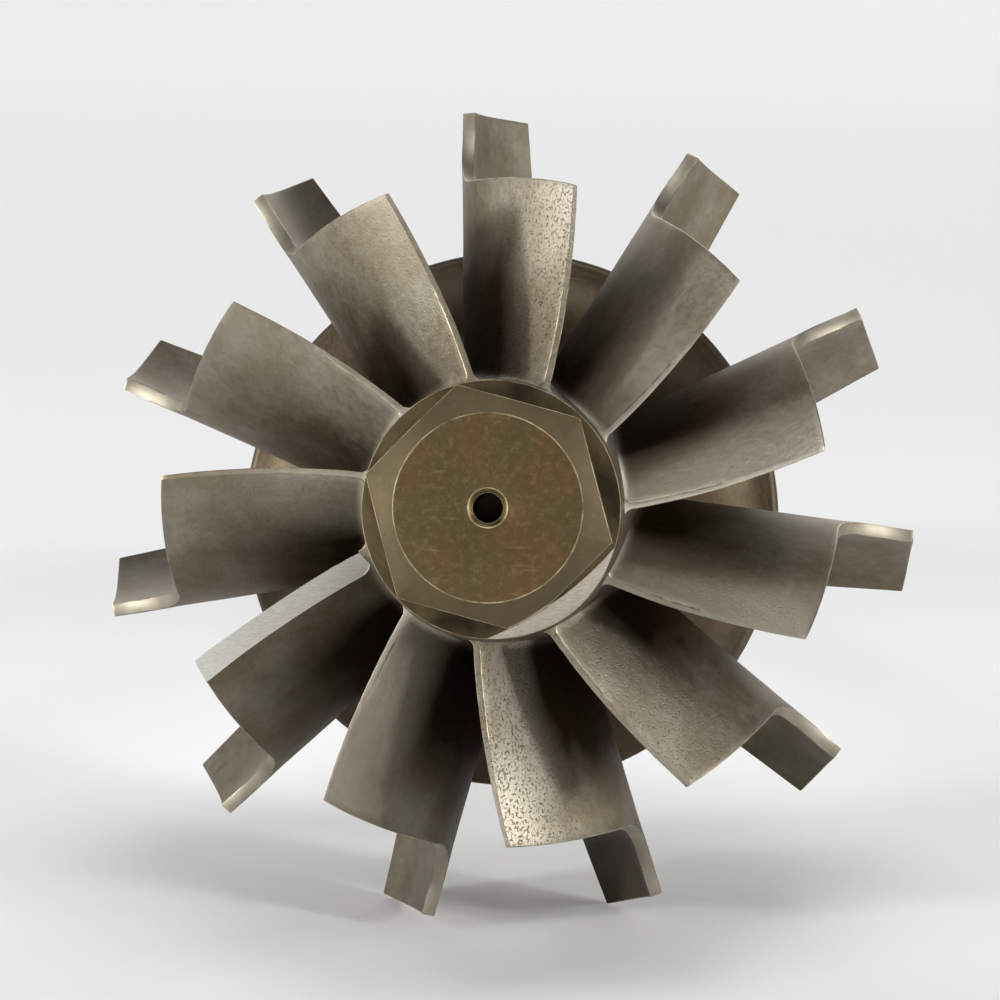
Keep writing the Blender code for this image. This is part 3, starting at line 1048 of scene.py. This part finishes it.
def add_nose():
    """The driving nose: turned, cut to its hexagon, drilled, and caught by the balance cut."""
    chamfer = (SHOULDER_RADIUS - NOSE_FACE_RADIUS) * tan(NOSE_CHAMFER)
    foot = SHOULDER_DEPTH - SHOULDER_LAP
    outline = [(foot, 0.0), (foot, SHOULDER_RADIUS), (NOSE_DEPTH - chamfer, SHOULDER_RADIUS)]
    outline += [(NOSE_DEPTH, NOSE_FACE_RADIUS), (NOSE_DEPTH, 0.0)]
    nose = turned("hexagonal_nose", outline, NOSE_STEPS)
    nose.data.materials.append(TARNISHED_CONE)
    bpy.ops.object.select_all(action="DESELECT")
    bpy.ops.mesh.primitive_cylinder_add(
        vertices=6, radius=HEX_ACROSS_FLATS / sqrt(3), depth=HEX_BLANK, location=(0, 0, 0)
    )
    hexagon = bpy.context.object
    hexagon.data.materials.append(TARNISHED_CONE)
    hexagon.data.transform(
        Matrix.Translation((0, -SHOULDER_DEPTH, 0))
        @ Matrix.Rotation(HEX_TURN, 4, "Y")
        @ Matrix.Rotation(pi / 2, 4, "X")
    )
    cut(nose, hexagon, "INTERSECT")
    finish_faces(nose, TARNISHED, lambda centre: -centre.y > NOSE_DEPTH - TOUCH)
    end = NOSE_DEPTH - DRILL_LENGTH
    drilling = [
        (end - DRILL_RADIUS / 2, 0.0),
        (end, DRILL_RADIUS),
        (NOSE_DEPTH - COUNTERSINK + DRILL_RADIUS, DRILL_RADIUS),
        (NOSE_DEPTH + MM, COUNTERSINK + MM),
        (NOSE_DEPTH + MM, 0.0),
    ]
    drill = turned("centre_drill", drilling, DRILL_STEPS)
    drill.data.materials.append(REAMED)
    cut(nose, drill)
    cut(nose, balance_cutter())
    # Scuffed edges with a painted highlight
    break_edges(nose, NOSE_EDGE, angle=20, finish=SCUFFED_HIGHLIGHTED)
    finish_piece(nose, "cast_nickel_alloy", "wheel_casting", angle=20)


# Shaft and seal ring


def thread_radius(depth, turn):
    """A left-hand V thread that runs out into the relief and the end's chamfer."""
    phase = (depth / THREAD_PITCH + turn / (2 * pi)) % 1.0
    tooth = min(1.0, max(0.0, TOOTH_RISE * (1 - abs(2 * phase - 1)) - TOOTH_FLAT))
    crest = STUB_RADIUS - max(0.0, SHAFT_END + END_CHAMFER - depth)
    return min(crest, blend(THREAD_ROOT - TOOTH_UNDERCUT, STUB_RADIUS, tooth))


def add_shaft():
    """The ground shaft as far as the thread's relief, and the threaded end."""
    front = BOSS_DEPTH - WELD_GAP
    groove_front, groove_back, groove_floor = GROOVE
    waist_front, waist_back, waist_radius = WAIST
    relief_front, relief_floor, relief_back = THREAD_RELIEF
    outline = [
        (front, 0.0),
        (front, BOSS_RADIUS - WELD_CHAMFER),
        (front - WELD_CHAMFER, BOSS_RADIUS),
        (groove_front, BOSS_RADIUS),
        (groove_front, groove_floor),
        (groove_back, groove_floor),
        (groove_back, BOSS_RADIUS),
        (SEAL_LAND_END + JOURNAL_CHAMFER, BOSS_RADIUS),
        (SEAL_LAND_END, BOSS_RADIUS - JOURNAL_CHAMFER),
    ]
    outline += sweep(SEAL_LAND_END, JOURNAL_RADIUS, JOURNAL_FILLET, JOURNAL_FILLET)
    outline += [
        (waist_front, JOURNAL_RADIUS),
        (waist_front - MM, waist_radius),
        (waist_back + MM, waist_radius),
        (waist_back, JOURNAL_RADIUS),
        (JOURNAL_END + JOURNAL_CHAMFER, JOURNAL_RADIUS),
        (JOURNAL_END, JOURNAL_RADIUS - JOURNAL_CHAMFER),
        (JOURNAL_END, STUB_RADIUS),
        (THREAD_START + relief_front, STUB_RADIUS),
        (THREAD_START + relief_floor, THREAD_ROOT),
        (THREAD_START + relief_back, THREAD_ROOT),
        (THREAD_START + relief_back, 0.0),
    ]
    shaft = turned("turned_shaft", outline, SHAFT_STEPS)
    shaft.data.materials.append(steel_skin("ground_alloy_steel", "#a3a19d", 0.24, 0.2))
    break_edges(shaft, SHAFT_EDGE, angle=35)
    finish_piece(shaft, "ground_steel", "rotor_shaft")
    start = THREAD_START + relief_back + THREAD_OVERLAP
    depths = [blend(start, SHAFT_END, row / THREAD_ROWS) for row in range(THREAD_ROWS + 1)]
    outline = [(start, 0.0)] + [(depth, STUB_RADIUS) for depth in depths] + [(SHAFT_END, 0.0)]
    end = turned("threaded_end", outline, THREAD_STEPS)
    for vert in end.data.vertices:
        radius = Vector((vert.co.x, vert.co.z)).length
        if radius > STUB_RADIUS / 2:
            turn = atan2(vert.co.x, vert.co.z)
            wanted = thread_radius(-vert.co.y, turn)
            vert.co.x *= wanted / radius
            vert.co.z *= wanted / radius
    end.data.materials.append(steel_skin("rolled_alloy_steel", "#8f8d8a", 0.3, 0.3))
    finish_piece(end, "ground_steel", "rotor_shaft")


def add_seal_ring():
    """The split ring that sits loose in its groove."""
    front, back, inner, outer = RING
    outline = [(front, inner), (front, outer), (back, outer), (back, inner)]
    ring = turned("seal_ring_split", outline, RING_STEPS, 2 * pi - RING_SPLIT, closed=True)
    ring.data.materials.append(iron_skin())
    break_edges(ring, RING_EDGE, angle=40)
    finish_piece(ring, "ring_iron", "seal_ring")


# Studio


def add_floor():
    """A sheet of paper that is wide enough to fill the view."""
    bpy.ops.object.select_all(action="DESELECT")
    bpy.ops.mesh.primitive_grid_add(
        x_subdivisions=8, y_subdivisions=8, size=FLOOR_SIZE, location=(0, 0, 0)
    )
    floor = bpy.context.object
    floor.name = "studio_floor"
    floor.data.materials.append(paper_skin())


def add_light(name, azimuth, elevation, width, height, power):
    """A soft box aimed at the wheel; azimuth 0 is the camera's side, 90 the right."""
    data = bpy.data.lights.new(name, "AREA")
    data.shape = "RECTANGLE"
    data.size = width
    data.size_y = height
    data.energy = power
    lamp = bpy.data.objects.new(name, data)
    turn = radians(azimuth)
    rise = radians(elevation)
    aim = ROTOR @ Vector((0, -LIGHT_AIM_DEPTH, 0))
    away = Vector((sin(turn) * cos(rise), -cos(turn) * cos(rise), sin(rise)))
    lamp.location = aim + away * LIGHT_DISTANCE
    lamp.rotation_euler = away.to_track_quat("Z", "Y").to_euler()
    bpy.context.scene.collection.objects.link(lamp)


def add_lights():
    """Two low keys in front, left and right, softer boxes behind and above, a dark camera side."""
    add_light("left_key", -64, 8, 0.11, 0.14, 6.0)
    add_light("right_key", 65, 13, 0.11, 0.11, 4.4)
    add_light("left_box", -60, 25, 0.20, 0.20, 1.8)
    add_light("right_box", 85, 22, 0.35, 0.20, 1.7)
    add_light("left_side", -98, 26, 0.35, 0.25, 0.9)
    add_light("back_left", -160, 22, 0.45, 0.4, 1.7)
    add_light("back_right", 165, 20, 0.35, 0.35, 1.5)
    add_light("ceiling", 20, 77, 0.5, 0.3, 3.0)


def add_camera():
    """The photograph's view: a long lens, a little to the right of the rotor's axis."""
    elevation = TILT - CAMERA_BELOW_AXIS
    forward = Vector(
        (
            -sin(CAMERA_AZIMUTH) * cos(elevation),
            cos(CAMERA_AZIMUTH) * cos(elevation),
            -sin(elevation),
        )
    )
    level_right = forward.cross(Vector((0, 0, 1))).normalized()
    level_up = level_right.cross(forward)
    right = cos(CAMERA_ROLL) * level_right + sin(CAMERA_ROLL) * level_up
    up = cos(CAMERA_ROLL) * level_up - sin(CAMERA_ROLL) * level_right
    place = ROTOR.translation + CAMERA_SIDE * right + CAMERA_LIFT * up - CAMERA_DISTANCE * forward
    data = bpy.data.cameras.new("camera")
    data.sensor_width = SENSOR_WIDTH
    data.lens = FOCAL_PIXELS / FRAME_PIXELS * SENSOR_WIDTH
    data.clip_start = 10 * MM
    data.clip_end = 20.0
    camera = bpy.data.objects.new("camera", data)
    axes = Matrix((right, up, -forward)).transposed().to_4x4()
    camera.matrix_world = Matrix.Translation(place) @ axes
    bpy.context.scene.collection.objects.link(camera)
    bpy.context.scene.camera = camera


def add_world():
    """Dim room light, with a pale band at the horizon that carries the floor's colour on."""
    world = bpy.data.worlds.new("studio")
    world.use_nodes = True
    tree = world.node_tree
    way = add_node(tree, "ShaderNodeTexCoord")
    axes = add_node(tree, "ShaderNodeSeparateXYZ", {"Vector": (way, "Generated")})
    band = add_node(
        tree, "ShaderNodeValToRGB", {"Fac": (axes, "Z")}, stops=((0.14, "#e6e6e6"), (0.30, "#595959"))
    )
    connect(tree, tree.nodes["Background"], {"Color": (band, "Color")})
    bpy.context.scene.world = world


def main():
    """Builds the wheel, the shaft and the studio."""
    add_camera()
    add_blades()
    add_hub()
    add_nose()
    add_shaft()
    add_seal_ring()
    add_floor()
    add_world()
    add_lights()
    bpy.context.scene.view_settings.view_transform = "Standard"


main()
